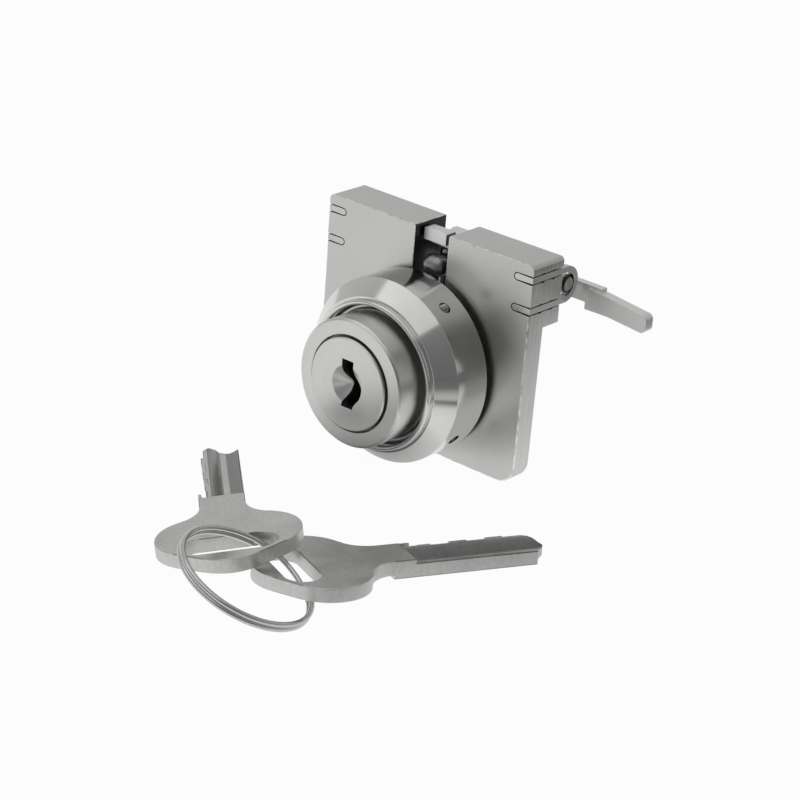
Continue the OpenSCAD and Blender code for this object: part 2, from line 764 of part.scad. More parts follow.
module key_left() {
    color([0.56, 0.56, 0.56])
        laid(key_left_pos, key_left_turn_angle, key_left_pitch_angle, key_left_roll_angle)
        key_blank();
}

module key_right() {
    color([0.62, 0.62, 0.61])
        laid(key_right_pos, key_right_turn_angle, key_right_pitch_angle, key_right_roll_angle)
        key_blank();
}

mounting_plate();
threaded_sleeve();
cylinder_shell();
shell_pin();
clamp_collar();
core_face();
drill_plate();
core_drum();
detainer_discs();
spacer_rings();
sidebar();
drive_cam();
tail_clip();
lift_plunger();
latch_rocker();
pivot_rod();
rod_clip_left();
rod_clip_right();
return_spring();
key_ring();
key_left();
key_right();
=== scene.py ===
import json
import math
from functools import partial
import bmesh
import bpy
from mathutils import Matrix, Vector


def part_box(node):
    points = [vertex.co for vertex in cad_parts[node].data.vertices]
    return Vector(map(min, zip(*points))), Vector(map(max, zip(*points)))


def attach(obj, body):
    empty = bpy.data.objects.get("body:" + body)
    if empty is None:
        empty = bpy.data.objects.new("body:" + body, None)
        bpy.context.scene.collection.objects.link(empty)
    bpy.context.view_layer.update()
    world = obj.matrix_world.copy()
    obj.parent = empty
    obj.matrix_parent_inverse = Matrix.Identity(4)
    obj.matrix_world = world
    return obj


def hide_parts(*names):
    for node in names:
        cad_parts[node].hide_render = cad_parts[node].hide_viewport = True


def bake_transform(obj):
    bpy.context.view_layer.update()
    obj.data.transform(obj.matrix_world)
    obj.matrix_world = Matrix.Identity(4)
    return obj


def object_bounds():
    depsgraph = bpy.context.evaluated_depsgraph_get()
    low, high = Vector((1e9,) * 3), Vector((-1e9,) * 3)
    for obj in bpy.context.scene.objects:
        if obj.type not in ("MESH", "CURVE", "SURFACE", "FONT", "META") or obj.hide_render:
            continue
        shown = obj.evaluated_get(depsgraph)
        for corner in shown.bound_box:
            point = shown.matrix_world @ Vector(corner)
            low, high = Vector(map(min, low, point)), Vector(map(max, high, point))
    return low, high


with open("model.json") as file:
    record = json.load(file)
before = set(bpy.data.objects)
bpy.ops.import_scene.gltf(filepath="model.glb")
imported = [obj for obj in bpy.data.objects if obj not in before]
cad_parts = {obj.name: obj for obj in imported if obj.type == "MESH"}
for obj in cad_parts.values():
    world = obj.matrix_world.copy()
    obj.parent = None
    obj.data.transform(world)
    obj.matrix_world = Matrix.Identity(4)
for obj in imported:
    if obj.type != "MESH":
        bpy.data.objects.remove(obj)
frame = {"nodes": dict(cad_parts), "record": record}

cad_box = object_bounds()
MM = 0.001

# Mounting plate
# A zinc casting, satin nickel plated: a flat plate with a thicker block along its top, split by a slot.
# Its ends are sawn and filed, and its edges are rubbed bright where the plating has worn.
WELD = 2e-6
FLAT_DEGREES, SHARP_DEGREES = 0.4, 20
SHORTEST_ROUNDED, ROUNDING_STEPS = 0.5 * MM, 2
FACING, END_ON = 0.9, 0.95


def plain_mesh(piece):
    """Turns a piece and its modifiers into one plain mesh."""
    depsgraph = bpy.context.evaluated_depsgraph_get()
    mesh = bpy.data.meshes.new_from_object(
        piece.evaluated_get(depsgraph), preserve_all_data_layers=True, depsgraph=depsgraph)
    piece.modifiers.clear()
    old = piece.data
    piece.data = mesh
    bpy.data.meshes.remove(old)
    return mesh


def merged_copy(node, share_of=None):
    """A new object with a node's mesh, its doubles merged and its sharp edges weighted for rounding."""
    source = frame["nodes"][node].data
    bm = bmesh.new()
    corners = [bm.verts.new(v.co) for v in source.vertices]
    for face in source.polygons:
        bm.faces.new([corners[i] for i in face.vertices])
    bmesh.ops.remove_doubles(bm, verts=bm.verts, dist=WELD)
    bmesh.ops.dissolve_limit(
        bm, angle_limit=math.radians(FLAT_DEGREES), verts=bm.verts, edges=bm.edges)
    weight = bm.edges.layers.float.new("bevel_weight_edge")
    for e in bm.edges:
        e.smooth = math.degrees(e.calc_face_angle(0.0)) < SHARP_DEGREES
        if not e.smooth and e.calc_length() > SHORTEST_ROUNDED:
            middle = (e.verts[0].co + e.verts[1].co) / 2
            e[weight] = share_of(middle) if share_of else 1.0
    for f in bm.faces:
        f.smooth = True
    mesh = bpy.data.meshes.new(node + "_dressed")
    bm.to_mesh(mesh)
    bm.free()
    piece = bpy.data.objects.new(node + "_dressed", mesh)
    bpy.context.scene.collection.objects.link(piece)
    return piece


def mark(piece, label, value_of):
    """Writes a face attribute from a rule on each face."""
    marks = piece.data.attributes.new(label, "FLOAT", "FACE")
    marks.data.foreach_set("value", [float(value_of(face)) for face in piece.data.polygons])


def rounded_copy(node, edge_mm, share_of=None):
    """A copy of a node with rounded edges, marked in the attribute rubbed; its ends are marked in filed."""
    piece = merged_copy(node, share_of)
    # Two empty slots let the bevel tell its own faces from the rest
    for _ in range(2):
        piece.data.materials.append(None)
    rounding = piece.modifiers.new("rounding", "BEVEL")
    rounding.limit_method = "WEIGHT"
    rounding.width = edge_mm * MM
    rounding.segments = ROUNDING_STEPS
    rounding.harden_normals = True
    rounding.use_clamp_overlap = False
    rounding.material = 1
    mesh = plain_mesh(piece)
    mark(piece, "rubbed", lambda face: face.material_index == 1)
    mark(piece, "filed", lambda face: abs(face.normal.x) > END_ON)
    mesh.polygons.foreach_set("material_index", [0] * len(mesh.polygons))
    return piece


def dress(piece, node, body, material):
    """Puts a finished piece in the place of its node."""
    piece.data.materials.clear()
    piece.data.materials.append(material)
    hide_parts(node)
    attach(piece, body)


def add_inputs(tree, inputs):
    """Gives a node group its named inputs."""
    for label, kind, value in inputs:
        socket = tree.interface.new_socket(label, in_out="INPUT", socket_type="NodeSocket" + kind)
        socket.default_value = value


def new_group(name, inputs, outputs):
    """An empty shader node group with its sockets."""
    group = bpy.data.node_groups.new(name, "ShaderNodeTree")
    add_inputs(group, inputs)
    for label in outputs:
        group.interface.new_socket(label, in_out="OUTPUT", socket_type="NodeSocketFloat")
    return group, group.nodes.new("NodeGroupInput"), group.nodes.new("NodeGroupOutput")


def math_node(nodes, link, operation, first, second=None, third=None):
    """A Math node fed by sockets or numbers; returns its output."""
    node = nodes.new("ShaderNodeMath")
    node.operation = operation
    for slot, value in enumerate((first, second, third)):
        if value is None:
            continue
        if isinstance(value, (int, float)):
            node.inputs[slot].default_value = value
        else:
            link(value, node.inputs[slot])
    return node.outputs[0]


def ranged(nodes, link, value, low, high, to_low=0.0, to_high=1.0):
    """A clamped Map Range node; returns its output."""
    node = nodes.new("ShaderNodeMapRange")
    limits = {"From Min": low, "From Max": high, "To Min": to_low, "To Max": to_high}
    for label, number in limits.items():
        node.inputs[label].default_value = number
    link(value, node.inputs["Value"])
    return node.outputs["Result"]


def noise_node(nodes, link, vector, scale, detail):
    """A Noise texture on a vector; returns its value."""
    node = nodes.new("ShaderNodeTexNoise")
    node.inputs["Detail"].default_value = detail
    link(vector, node.inputs["Vector"])
    link(scale, node.inputs["Scale"])
    return node.outputs["Fac"]


def attribute_value(nodes, label):
    """The value of a face attribute."""
    node = nodes.new("ShaderNodeAttribute")
    node.attribute_name = label
    return node.outputs["Fac"]


CLOUD_DETAIL, LINE_DETAIL, EDGE_DETAIL = 3.0, 4.0, 2.0
PIT_SIZE, PIT_DEPTH = 0.22, -0.35
BRIGHT_FROM_TO, NICK_FROM_TO = (0.40, 0.56), (0.34, 0.28)


def plating_grain():
    """Plated metal: broad clouds, fine stretched lines and small pits, as masks and a height."""
    group, gin, gout = new_group(
        "plating_grain",
        [("Vector", "Vector", (0, 0, 0)), ("Stretch", "Vector", (1, 1, 1)),
         ("Cloud Scale", "Float", 90.0), ("Line Scale", "Float", 2600.0), ("Pit Scale", "Float", 1500.0)],
        ["Cloud", "Lines", "Pits", "Height"])
    nodes, link = group.nodes, group.links.new
    at = gin.outputs["Vector"]
    cloud = noise_node(nodes, link, at, gin.outputs["Cloud Scale"], CLOUD_DETAIL)
    stretched = nodes.new("ShaderNodeVectorMath")
    stretched.operation = "MULTIPLY"
    link(at, stretched.inputs[0])
    link(gin.outputs["Stretch"], stretched.inputs[1])
    lines = noise_node(nodes, link, stretched.outputs[0], gin.outputs["Line Scale"], LINE_DETAIL)
    cells = nodes.new("ShaderNodeTexVoronoi")
    link(at, cells.inputs["Vector"])
    link(gin.outputs["Pit Scale"], cells.inputs["Scale"])
    pits = ranged(nodes, link, cells.outputs["Distance"], 0.0, PIT_SIZE, 1.0, 0.0)
    height = math_node(nodes, link, "MULTIPLY_ADD", pits, PIT_DEPTH, lines)
    for label, value in (("Cloud", cloud), ("Lines", lines), ("Pits", pits), ("Height", height)):
        link(value, gout.inputs[label])
    return group


def rubbed_edges():
    """Worn plating along the rounded edges: broken bright lines and small dark nicks."""
    group, gin, gout = new_group(
        "rubbed_edges",
        [("Vector", "Vector", (0, 0, 0)), ("Amount", "Float", 1.0), ("Scale", "Float", 700.0)],
        ["Bright", "Nick"])
    nodes, link = group.nodes, group.links.new
    calc = partial(math_node, nodes, link)
    edge = attribute_value(nodes, "rubbed")
    along = noise_node(nodes, link, gin.outputs["Vector"], gin.outputs["Scale"], EDGE_DETAIL)
    for label, from_to in (("Bright", BRIGHT_FROM_TO), ("Nick", NICK_FROM_TO)):
        on_edge = calc("MULTIPLY", ranged(nodes, link, along, *from_to), edge)
        link(calc("MULTIPLY", on_edge, gin.outputs["Amount"]), gout.inputs[label])
    return group


GRAIN = plating_grain()
RUBBED = rubbed_edges()
RUBBED_SHADE, NICK_SHADE, PAINTED_SHADE = (0.92, 0.92, 0.91), (0.10, 0.10, 0.10), (0.02, 0.02, 0.02)
TONE_FROM_TO, GLOSS_FROM_TO = (0.35, 0.65), (0.3, 0.7)
FILE_STRETCH, FILE_SCALE, FILE_DEPTH = (1, 1, 0.05), 2200.0, 3
PLATING_RELIEF = 0.02 * MM


def placed_group(nodes, link, tree, vector, **values):
    """A shader group in a material, with its own values."""
    node = nodes.new("ShaderNodeGroup")
    node.node_tree = tree
    for label, value in values.items():
        node.inputs[label.replace("_", " ")].default_value = value
    link(vector, node.inputs["Vector"])
    return node


def mixed(nodes, link, factor, first, second):
    """A colour mix; each colour is a socket or three numbers."""
    node = nodes.new("ShaderNodeMix")
    node.data_type = "RGBA"
    link(factor, node.inputs["Factor"])
    for label, value in (("A", first), ("B", second)):
        if isinstance(value, tuple):
            node.inputs[label].default_value = (*value, 1)
        else:
            link(value, node.inputs[label])
    return node.outputs["Result"]


def new_metal(name):
    """A bare metal; returns it with its nodes, its links, its shader and the place on the object."""
    material = bpy.data.materials.new(name)
    material.use_nodes = True
    nodes, link = material.node_tree.nodes, material.node_tree.links.new
    shader = nodes["Principled BSDF"]
    shader.inputs["Metallic"].default_value = 1.0
    return material, nodes, link, shader, nodes.new("ShaderNodeTexCoord").outputs["Object"]


def worn(nodes, link, at, shade, amount):
    """A shade with the bright lines and nicks of rubbed edges laid over it."""
    rub = placed_group(nodes, link, RUBBED, at, Amount=amount)
    shade = mixed(nodes, link, rub.outputs["Bright"], shade, RUBBED_SHADE)
    return mixed(nodes, link, rub.outputs["Nick"], shade, NICK_SHADE)


def finish_metal(nodes, link, shader, shade, gloss, height, bump, depth):
    """Joins a metal's shade, gloss and relief to its shader."""
    link(shade, shader.inputs["Base Color"])
    link(gloss, shader.inputs["Roughness"])
    relief = nodes.new("ShaderNodeBump")
    relief.inputs["Strength"].default_value = bump
    relief.inputs["Distance"].default_value = depth
    link(height, relief.inputs["Height"])
    link(relief.outputs["Normal"], shader.inputs["Normal"])


def plated(name, dark, light, rough, bump=0.05, wear=0.0, file_marks=0.0, **grain_values):
    """A plated metal whose shade, gloss and relief follow the grain, with rubbed edges and painted shade on
    faces marked for it.
    """
    material, nodes, link, shader, at = new_metal(name)
    calc = partial(math_node, nodes, link)
    grain = placed_group(nodes, link, GRAIN, at, **grain_values)
    clouds = calc("MULTIPLY", grain.outputs["Cloud"], 0.5)
    tone = calc("MULTIPLY_ADD", grain.outputs["Lines"], 0.5, clouds)
    height = grain.outputs["Height"]
    if file_marks:
        filed = placed_group(nodes, link, GRAIN, at, Stretch=FILE_STRETCH, Line_Scale=FILE_SCALE)
        streak = calc("SUBTRACT", filed.outputs["Lines"], 0.5)
        streak = calc("MULTIPLY", streak, attribute_value(nodes, "filed"))
        tone = calc("MULTIPLY_ADD", streak, file_marks, tone)
        height = calc("MULTIPLY_ADD", streak, FILE_DEPTH * file_marks, height)
    shade = mixed(nodes, link, ranged(nodes, link, tone, *TONE_FROM_TO), dark, light)
    gloss = ranged(nodes, link, tone, *GLOSS_FROM_TO, *rough)
    if wear:
        shade = worn(nodes, link, at, shade, wear)
    # Painted shade: faces marked for it are darkened almost to black
    shade = mixed(nodes, link, attribute_value(nodes, "painted_shade"), shade, PAINTED_SHADE)
    finish_metal(nodes, link, shader, shade, gloss, height, bump, PLATING_RELIEF)
    return material


cast_nickel = plated("cast_nickel", dark=(0.57, 0.57, 0.56), light=(0.67, 0.67, 0.66), rough=(0.28, 0.38),
                     bump=0.12, wear=0.9, file_marks=1.6, Cloud_Scale=70.0)
SLOT_HALF, SLOT_FOOT = 7 * MM, 12 * MM
GROOVE_INNER, GROOVE_OUTER = 17 * MM, 24.9 * MM
GROOVE_LOW, GROOVE_HIGH = 15.8 * MM, 24.6 * MM
GROOVE_ROUNDING = 0.3
PLATE_SHADE = 0.9


def by_grooves(at):
    """Whether a point lies where the clips are let into the block's ends."""
    return abs(at.x) > GROOVE_INNER and GROOVE_LOW < at.z < GROOVE_HIGH


def plate_painted_shade(face):
    """Painted shade on the slot's walls and in the clips' grooves."""
    at, out = face.center, face.normal
    from_side = abs(out.y) < FACING
    in_slot = abs(at.x) < SLOT_HALF and at.z > SLOT_FOOT and from_side and out.z < FACING
    in_groove = by_grooves(at) and abs(at.x) < GROOVE_OUTER and from_side
    return PLATE_SHADE * (in_slot or in_groove)


plate = rounded_copy("mounting_plate", edge_mm=0.26,
                     share_of=lambda at: GROOVE_ROUNDING if by_grooves(at) else 1.0)
# Painted shade: the slot's walls and the clips' grooves are darkened
mark(plate, "painted_shade", plate_painted_shade)
dress(plate, "mounting_plate", "housing", cast_nickel)

# Sleeve, barrel and shell pin
# The sleeve is a turned tube pressed into the plate, with the collar's thread cut on it. The barrel slides
# into it from the back and is held by a domed pin through both. Sleeve and barrel are nickel plated steel.
RING_DETAIL, BAND_SCALE = 2.0, 0.12
TURNED_CLOUDS, TURNED_PITS = 110.0, -0.2
TURNED_RELIEF = 0.015 * MM


def lathe_marks():
    """Fine rings left by the lathe round the barrel axis, on faces and sides alike."""
    group, gin, gout = new_group(
        "lathe_marks", [("Vector", "Vector", (0, 0, 0)), ("Scale", "Float", 3000.0)], ["Fine", "Bands"])
    nodes, link = group.nodes, group.links.new
    calc = partial(math_node, nodes, link)
    split = nodes.new("ShaderNodeSeparateXYZ")
    link(gin.outputs["Vector"], split.inputs[0])
    across = calc("POWER", split.outputs["X"], 2.0)
    up = calc("POWER", split.outputs["Z"], 2.0)
    radius = calc("SQRT", calc("ADD", across, up))
    travel = calc("SUBTRACT", radius, split.outputs["Y"])
    for label, share in (("Fine", 1.0), ("Bands", BAND_SCALE)):
        ring = nodes.new("ShaderNodeTexNoise")
        ring.noise_dimensions = "1D"
        ring.inputs["Detail"].default_value = RING_DETAIL
        link(travel, ring.inputs["W"])
        link(calc("MULTIPLY", gin.outputs["Scale"], share), ring.inputs["Scale"])
        link(ring.outputs["Fac"], gout.inputs[label])
    return group


LATHE = lathe_marks()


def turned(name, dark, light, rough, bump=0.05, scale=3000.0, bands=0.5, wear=0.0):
    """A piece off the lathe: rings in its shade and relief, broad smears in its gloss."""
    material, nodes, link, shader, at = new_metal(name)
    calc = partial(math_node, nodes, link)
    rings = placed_group(nodes, link, LATHE, at, Scale=scale)
    grain = placed_group(nodes, link, GRAIN, at, Cloud_Scale=TURNED_CLOUDS)
    clouds = calc("MULTIPLY", grain.outputs["Cloud"], 1 - bands)
    tone = calc("MULTIPLY_ADD", rings.outputs["Bands"], bands, clouds)
    shade = mixed(nodes, link, ranged(nodes, link, tone, *TONE_FROM_TO), dark, light)
    if wear:
        shade = worn(nodes, link, at, shade, wear)
    gloss = ranged(nodes, link, grain.outputs["Cloud"], *GLOSS_FROM_TO, *rough)
    height = calc("MULTIPLY_ADD", grain.outputs["Pits"], TURNED_PITS, rings.outputs["Fine"])
    finish_metal(nodes, link, shader, shade, gloss, height, bump, TURNED_RELIEF)
    return material


def shape_tree(name, inputs):
    """An empty geometry tree with named inputs for its sizes."""
    tree = bpy.data.node_groups.new(name, "GeometryNodeTree")
    add_inputs(tree, inputs)
    tree.interface.new_socket("Geometry", in_out="OUTPUT", socket_type="NodeSocketGeometry")
    return tree, tree.nodes.new("NodeGroupInput"), tree.nodes.new("NodeGroupOutput")


def end_tree(tree, gout, geometry, material):
    """Ends a geometry tree: realized, smooth and with its material."""
    nodes, link = tree.nodes, tree.links.new
    real = nodes.new("GeometryNodeRealizeInstances")
    link(geometry, real.inputs["Geometry"])
    smooth = nodes.new("GeometryNodeSetShadeSmooth")
    link(real.outputs["Geometry"], smooth.inputs["Geometry"])
    finish = nodes.new("GeometryNodeSetMaterial")
    finish.inputs["Material"].default_value = material
    link(smooth.outputs["Geometry"], finish.inputs["Geometry"])
    link(finish.outputs["Geometry"], gout.inputs["Geometry"])


SEAM_WELD = 1e-6


def grown(name, tree, sizes, path=()):
    """A plain mesh object from a geometry tree, its sizes and its path, with its faces turned outwards."""
    piece = bpy.data.objects.new(name, bpy.data.meshes.new(name))
    piece.data.from_pydata(path, [(i, i + 1) for i in range(len(path) - 1)], [])
    bpy.context.scene.collection.objects.link(piece)
    shape = piece.modifiers.new("shape", "NODES")
    shape.node_group = tree
    for item in tree.interface.items_tree:
        if item.in_out == "INPUT" and item.name in sizes:
            shape[item.identifier] = sizes[item.name]
    mesh = plain_mesh(piece)
    bm = bmesh.new()
    bm.from_mesh(mesh)
    bmesh.ops.remove_doubles(bm, verts=bm.verts, dist=SEAM_WELD)
    bmesh.ops.recalc_face_normals(bm, faces=bm.faces)
    bm.to_mesh(mesh)
    bm.free()
    return piece


def threaded_tube(material):
    """A tube along Y: thread outside, plain bore inside, from a grid wrapped round the axis."""
    tree, gin, gout = shape_tree("threaded_tube", [
        ("Radius", "Float", 0.0135), ("Bore", "Float", 0.0125), ("Front", "Float", -0.0118),
        ("Back", "Float", 0.0), ("Pitch", "Float", 0.001), ("Depth", "Float", 0.0004),
        ("Rim", "Float", 0.0003), ("Rows", "Int", 96), ("Columns", "Int", 97)])
    nodes, link = tree.nodes, tree.links.new
    calc = partial(math_node, nodes, link)
    radius, rows = gin.outputs["Radius"], gin.outputs["Rows"]
    grid = nodes.new("GeometryNodeMeshGrid")
    grid.inputs["Size X"].default_value = 1.0
    grid.inputs["Size Y"].default_value = 1.0
    link(gin.outputs["Columns"], grid.inputs["Vertices X"])
    link(calc("ADD", rows, 4.0), grid.inputs["Vertices Y"])
    split = nodes.new("ShaderNodeSeparateXYZ")
    link(nodes.new("GeometryNodeInputPosition").outputs[0], split.inputs[0])
    turn = calc("ADD", split.outputs["X"], 0.5)
    row = calc("MULTIPLY", calc("ADD", split.outputs["Y"], 0.5), calc("ADD", rows, 3.0))
    # Three rows past the thread go in to the bore, forward along it and out to the first row
    past = calc("SUBTRACT", row, rows)
    in_bore = calc("MULTIPLY", calc("GREATER_THAN", past, 0.5), calc("LESS_THAN", past, 2.5))
    returned = calc("GREATER_THAN", past, 1.5)
    on_thread = calc("MINIMUM", calc("DIVIDE", row, rows), 1.0)
    share = calc("MULTIPLY", on_thread, calc("SUBTRACT", 1.0, returned))
    length = calc("SUBTRACT", gin.outputs["Back"], gin.outputs["Front"])
    along = calc("MULTIPLY", share, length)
    phase = calc("FRACT", calc("SUBTRACT", calc("DIVIDE", along, gin.outputs["Pitch"]), turn))
    groove = calc("ABSOLUTE", calc("MULTIPLY_ADD", phase, 2.0, -1.0))
    crest = calc("SUBTRACT", radius, calc("MULTIPLY", groove, gin.outputs["Depth"]))
    rim = calc("ADD", calc("SUBTRACT", radius, gin.outputs["Rim"]), along)
    outer = calc("MINIMUM", crest, rim)
    step_in = calc("MULTIPLY", in_bore, calc("SUBTRACT", gin.outputs["Bore"], outer))
    wall = calc("ADD", outer, step_in)
    angle = calc("MULTIPLY", turn, 2 * math.pi)
    place = nodes.new("ShaderNodeCombineXYZ")
    link(calc("MULTIPLY", wall, calc("COSINE", angle)), place.inputs["X"])
    link(calc("ADD", gin.outputs["Front"], along), place.inputs["Y"])
    link(calc("MULTIPLY", wall, calc("SINE", angle)), place.inputs["Z"])
    wrap = nodes.new("GeometryNodeSetPosition")
    link(grid.outputs["Mesh"], wrap.inputs["Geometry"])
    link(place.outputs[0], wrap.inputs["Position"])
    end_tree(tree, gout, wrap.outputs["Geometry"], material)
    return tree


turned_nickel = turned("turned_nickel", dark=(0.60, 0.60, 0.59), light=(0.70, 0.70, 0.69),
                       rough=(0.24, 0.34), scale=2400.0)
SLEEVE_WALL, PLATE_FRONT = 1.0 * MM, -0.05 * MM
THREAD_PITCH, THREAD_DEPTH, RIM_BEVEL = 1.0 * MM, 0.38 * MM, 0.33 * MM
THREAD_ROWS, THREAD_COLUMNS = 96, 97
sleeve_low, sleeve_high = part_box("threaded_sleeve")
sleeve = grown("threaded_sleeve_dressed", threaded_tube(turned_nickel), {
    "Radius": sleeve_high[0], "Bore": sleeve_high[0] - SLEEVE_WALL, "Front": sleeve_low[1],
    "Back": PLATE_FRONT, "Pitch": THREAD_PITCH, "Depth": THREAD_DEPTH, "Rim": RIM_BEVEL,
    "Rows": THREAD_ROWS, "Columns": THREAD_COLUMNS})
seat = merged_copy("threaded_sleeve")
joined = bmesh.new()
joined.from_mesh(seat.data)
cut = bmesh.ops.bisect_plane(
    joined, geom=joined.verts[:] + joined.edges[:] + joined.faces[:], plane_co=(0, PLATE_FRONT, 0),
    plane_no=(0, 1, 0), clear_inner=True)
rims = [e for e in cut["geom_cut"] if isinstance(e, bmesh.types.BMEdge)]
bmesh.ops.bridge_loops(joined, edges=rims)
bmesh.ops.recalc_face_normals(joined, faces=joined.faces)
joined.from_mesh(sleeve.data)
joined.to_mesh(sleeve.data)
joined.free()
bpy.data.objects.remove(seat)
dress(sleeve, "threaded_sleeve", "housing", turned_nickel)

barrel_nickel = turned("barrel_nickel", dark=(0.64, 0.64, 0.63), light=(0.73, 0.73, 0.72),
                       rough=(0.26, 0.36), bands=0.35, wear=0.5)
shell = rounded_copy("cylinder_shell", edge_mm=0.1)
dress(shell, "cylinder_shell", "housing", barrel_nickel)
blackened_pin = plated("blackened_pin", dark=(0.30, 0.30, 0.30), light=(0.40, 0.40, 0.40),
                       rough=(0.32, 0.42))
pin = merged_copy("shell_pin")
dress(pin, "shell_pin", "housing", blackened_pin)

# Clamp collar
# A turned ring, polished and nickel plated, with a conical nose, a bead round its mouth and holes for a pin
# spanner. It screws along the sleeve against the panel.
polished_nickel = turned("polished_nickel", dark=(0.66, 0.66, 0.65), light=(0.74, 0.74, 0.73),
                         rough=(0.10, 0.17), bump=0.03, scale=1800.0, bands=0.25, wear=0.35)
collar = rounded_copy("clamp_collar", edge_mm=0.08)
dress(collar, "clamp_collar", "collar", polished_nickel)

# Core face
# The turning front: a disc faced on the lathe and left satin, with the keyway and a countersink that leads
# the key in. It is nickel plated like the barrel round it.
satin_nickel = turned("satin_nickel", dark=(0.66, 0.66, 0.65), light=(0.74, 0.74, 0.73),
                      rough=(0.28, 0.38), bands=0.4, wear=0.5)
core = rounded_copy("core_face", edge_mm=0.05)
dress(core, "core_face", "core", satin_nickel)

# Pieces inside the barrel
# Hardened plate, drum, detainers, spacers, sidebar, cam and clip: turned from brass or stamped from hard
# steel, left unplated, the drum dark with oil. They are stacked in the barrel and turn with the core.
hard_steel = plated("hard_steel", dark=(0.26, 0.26, 0.27), light=(0.38, 0.38, 0.39), rough=(0.30, 0.45))
turned_brass = turned("turned_brass", dark=(0.46, 0.38, 0.19), light=(0.60, 0.50, 0.27), rough=(0.25, 0.40))
oiled_drum = turned("oiled_drum", dark=(0.15, 0.14, 0.11), light=(0.24, 0.22, 0.17), rough=(0.30, 0.45))
INSIDE = {"drill_plate": hard_steel, "core_drum": oiled_drum, "detainer_discs": turned_brass,
          "spacer_rings": hard_steel, "sidebar": hard_steel, "drive_cam": hard_steel,
          "tail_clip": hard_steel}
for name, metal in INSIDE.items():
    inner = frame["nodes"][name]
    inner.data.materials.clear()
    inner.data.materials.append(metal)

# Latch rocker and plunger
# A cast rocker, satin nickel plated and rubbed pale, turning on the rod: tongue in front, beam behind, arm
# past the end. A hardened pin with round ends lifts the tongue from the cam below.
rubbed_nickel = plated("rubbed_nickel", dark=(0.80, 0.80, 0.79), light=(0.90, 0.90, 0.89),
                       rough=(0.40, 0.50), bump=0.12, wear=0.9)
rocker = rounded_copy("latch_rocker", edge_mm=0.08)
dress(rocker, "latch_rocker", "rocker", rubbed_nickel)
bright_steel = plated("bright_steel", dark=(0.56, 0.56, 0.55), light=(0.66, 0.66, 0.65),
                      rough=(0.16, 0.26), wear=0.4)
plunger = merged_copy("lift_plunger")
dress(plunger, "lift_plunger", "plunger", bright_steel)

# Pivot rod, its clips and the return spring
# A ground rod with bevelled ends; bright steel strips bent round it, let into the block's grooves and staked.
# The spring is wire coiled on the rod: one leg moves with the tongue, the other sits in the slot's wall.
ROD_SHADE, BEVEL_LEAST = 0.95, 0.1
BEND_STEPS = 4


def bent_wire(material):
    """Sweeps a round wire along a mesh of edges, with its corners bent to a radius."""
    tree, gin, gout = shape_tree("bent_wire", [
        ("Wire Radius", "Float", 0.0005), ("Bend Radius", "Float", 0.0), ("Sides", "Int", 12)])
    tree.interface.new_socket("Path", in_out="INPUT", socket_type="NodeSocketGeometry")
    tree.interface.move(tree.interface.items_tree["Path"], 0)
    nodes, link = tree.nodes, tree.links.new
    path = nodes.new("GeometryNodeMeshToCurve")
    link(gin.outputs["Path"], path.inputs["Mesh"])
    bend = nodes.new("GeometryNodeFilletCurve")
    bend.mode = "POLY"
    bend.inputs["Limit Radius"].default_value = True
    bend.inputs["Count"].default_value = BEND_STEPS
    link(path.outputs["Curve"], bend.inputs["Curve"])
    link(gin.outputs["Bend Radius"], bend.inputs["Radius"])
    section = nodes.new("GeometryNodeCurvePrimitiveCircle")
    link(gin.outputs["Sides"], section.inputs["Resolution"])
    link(gin.outputs["Wire Radius"], section.inputs["Radius"])
    sweep = nodes.new("GeometryNodeCurveToMesh")
    sweep.inputs["Fill Caps"].default_value = True
    link(bend.outputs["Curve"], sweep.inputs["Curve"])
    link(section.outputs["Curve"], sweep.inputs["Profile Curve"])
    end_tree(tree, gout, sweep.outputs["Mesh"], material)
    return tree


def joint_named(name):
    """A joint's entry in the record."""
    return next(j for j in frame["record"]["behaviour"]["joints"] if j["name"] == name)


def around(radius, angle):
    """A point round the rod's axis: 0 degrees lies in front of it, 90 above it."""
    return -radius * math.cos(math.radians(angle)), radius * math.sin(math.radians(angle))


WIRE = bent_wire(bright_steel)
rod = merged_copy("pivot_rod")
# Painted shade: the rod's sides and bevels are darkened inside the clips' loops
mark(rod, "painted_shade", lambda face: ROD_SHADE * (BEVEL_LEAST < abs(face.normal.x) < END_ON))
dress(rod, "pivot_rod", "housing", bright_steel)
for name in ("rod_clip_left", "rod_clip_right"):
    strip = rounded_copy(name, edge_mm=0.1)
    dress(strip, name, "housing", bright_steel)

ROD_Y, ROD_Z = joint_named("rocker_swing")["pos_m"][1:]
COIL_R, LEG_R, SPRING_WIRE_R, LEG_BEND = 2.2 * MM, 4.2 * MM, 0.29 * MM, 0.5 * MM
UPPER_LEG, LOWER_LEG = 25.0, -20.0
COIL_NEAR, COIL_FAR = 3.1 * MM, 4.25 * MM
UPPER_PEG, LOWER_PEG = 1.3 * MM, 6.15 * MM
COIL_STEPS, SPRING_SIDES = 56, 12
FULL_TURN = 360.0
tangent = math.degrees(math.acos(COIL_R / LEG_R))
coil_start, coil_end = UPPER_LEG + tangent, LOWER_LEG - tangent + 2 * FULL_TURN
spring_path = [(UPPER_PEG, *around(LEG_R, UPPER_LEG)), (COIL_NEAR, *around(LEG_R, UPPER_LEG))]
for i in range(COIL_STEPS + 1):
    part = i / COIL_STEPS
    spring_path.append((COIL_NEAR + (COIL_FAR - COIL_NEAR) * part,
                        *around(COIL_R, coil_start + (coil_end - coil_start) * part)))
spring_path += [(COIL_FAR, *around(LEG_R, LOWER_LEG)), (LOWER_PEG, *around(LEG_R, LOWER_LEG))]
spring = grown("return_spring_dressed", WIRE,
               {"Wire Radius": SPRING_WIRE_R, "Bend Radius": LEG_BEND, "Sides": SPRING_SIDES},
               [Vector((x, y + ROD_Y, z + ROD_Z)) for x, y, z in spring_path])
spring.data.materials.clear()
spring.data.materials.append(hard_steel)
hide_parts("return_spring")
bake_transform(spring)

